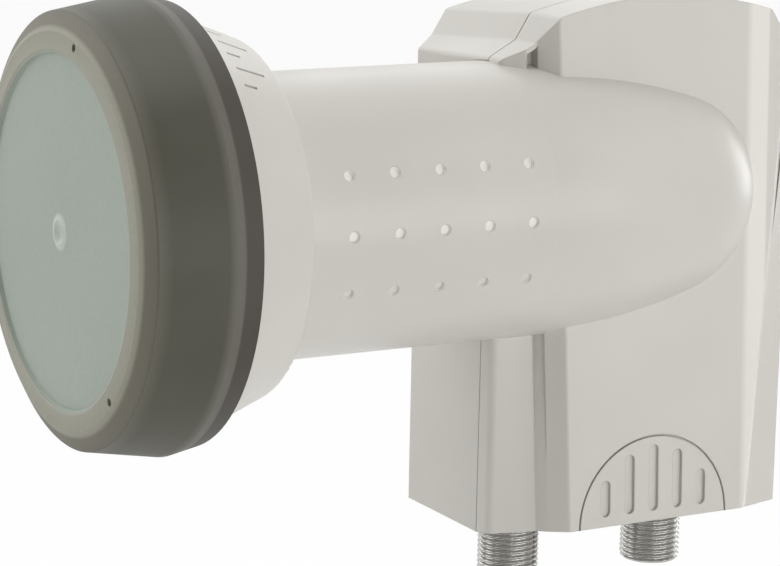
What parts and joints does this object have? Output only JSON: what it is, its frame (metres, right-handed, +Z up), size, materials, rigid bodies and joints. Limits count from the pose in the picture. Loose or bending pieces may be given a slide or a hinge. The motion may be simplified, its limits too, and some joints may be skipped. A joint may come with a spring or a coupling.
{
  "type": "satellite lnb",
  "caption": "Satellite dish feed converter: a capped feed horn on a round clamp neck, joined to a flat two-piece housing with threaded coaxial outputs underneath.",
  "frame": {"origin": "on the feed axis, in the middle of the neck that a dish arm clamps", "axes": "+Y along the feed axis away from the cap, +Z up away from the output ports, +X to the side where the neck bulges out of the housing"},
  "size_m": [0.0624, 0.1169, 0.0924],
  "materials": {
    "housing_plastic": "fine-textured moulded plastic, light warm grey",
    "cap_plastic": "satin moulded plastic, mid grey",
    "seal_rubber": "soft rubber",
    "cast_metal": "as-cast",
    "board_laminate": "solder mask",
    "probe_metal": "plated",
    "ptfe": "natural",
    "chip_resin": "moulded resin",
    "crystal_can": "bright",
    "screw_steel": "zinc plated",
    "port_nickel": "bright nickel plate"
  },
  "bodies": {
    "root": {"main_housing": "housing_plastic", "rear_shell": "housing_plastic", "feed_cap": "cap_plastic", "cap_seal": "seal_rubber", "chassis": "cast_metal", "shield_cover": "cast_metal", "circuit_board": "board_laminate", "vertical_probe": "probe_metal", "horizontal_probe": "probe_metal", "vertical_probe_sleeve": "ptfe", "horizontal_probe_sleeve": "ptfe", "isolation_pin": "probe_metal", "converter_chip": "chip_resin", "regulator": "chip_resin", "reference_crystal": "crystal_can", "cover_screw_1": "screw_steel", "cover_screw_2": "screw_steel", "cover_screw_3": "screw_steel", "cover_screw_4": "screw_steel", "housing_screw_1": "screw_steel", "housing_screw_2": "screw_steel", "housing_screw_3": "screw_steel", "front_port_body": "port_nickel", "front_port_insulator": "ptfe", "front_port_contact": "probe_metal", "front_port_seal": "seal_rubber", "rear_port_body": "port_nickel", "rear_port_insulator": "ptfe", "rear_port_contact": "probe_metal", "rear_port_seal": "seal_rubber"}
  },
  "joints": []
}
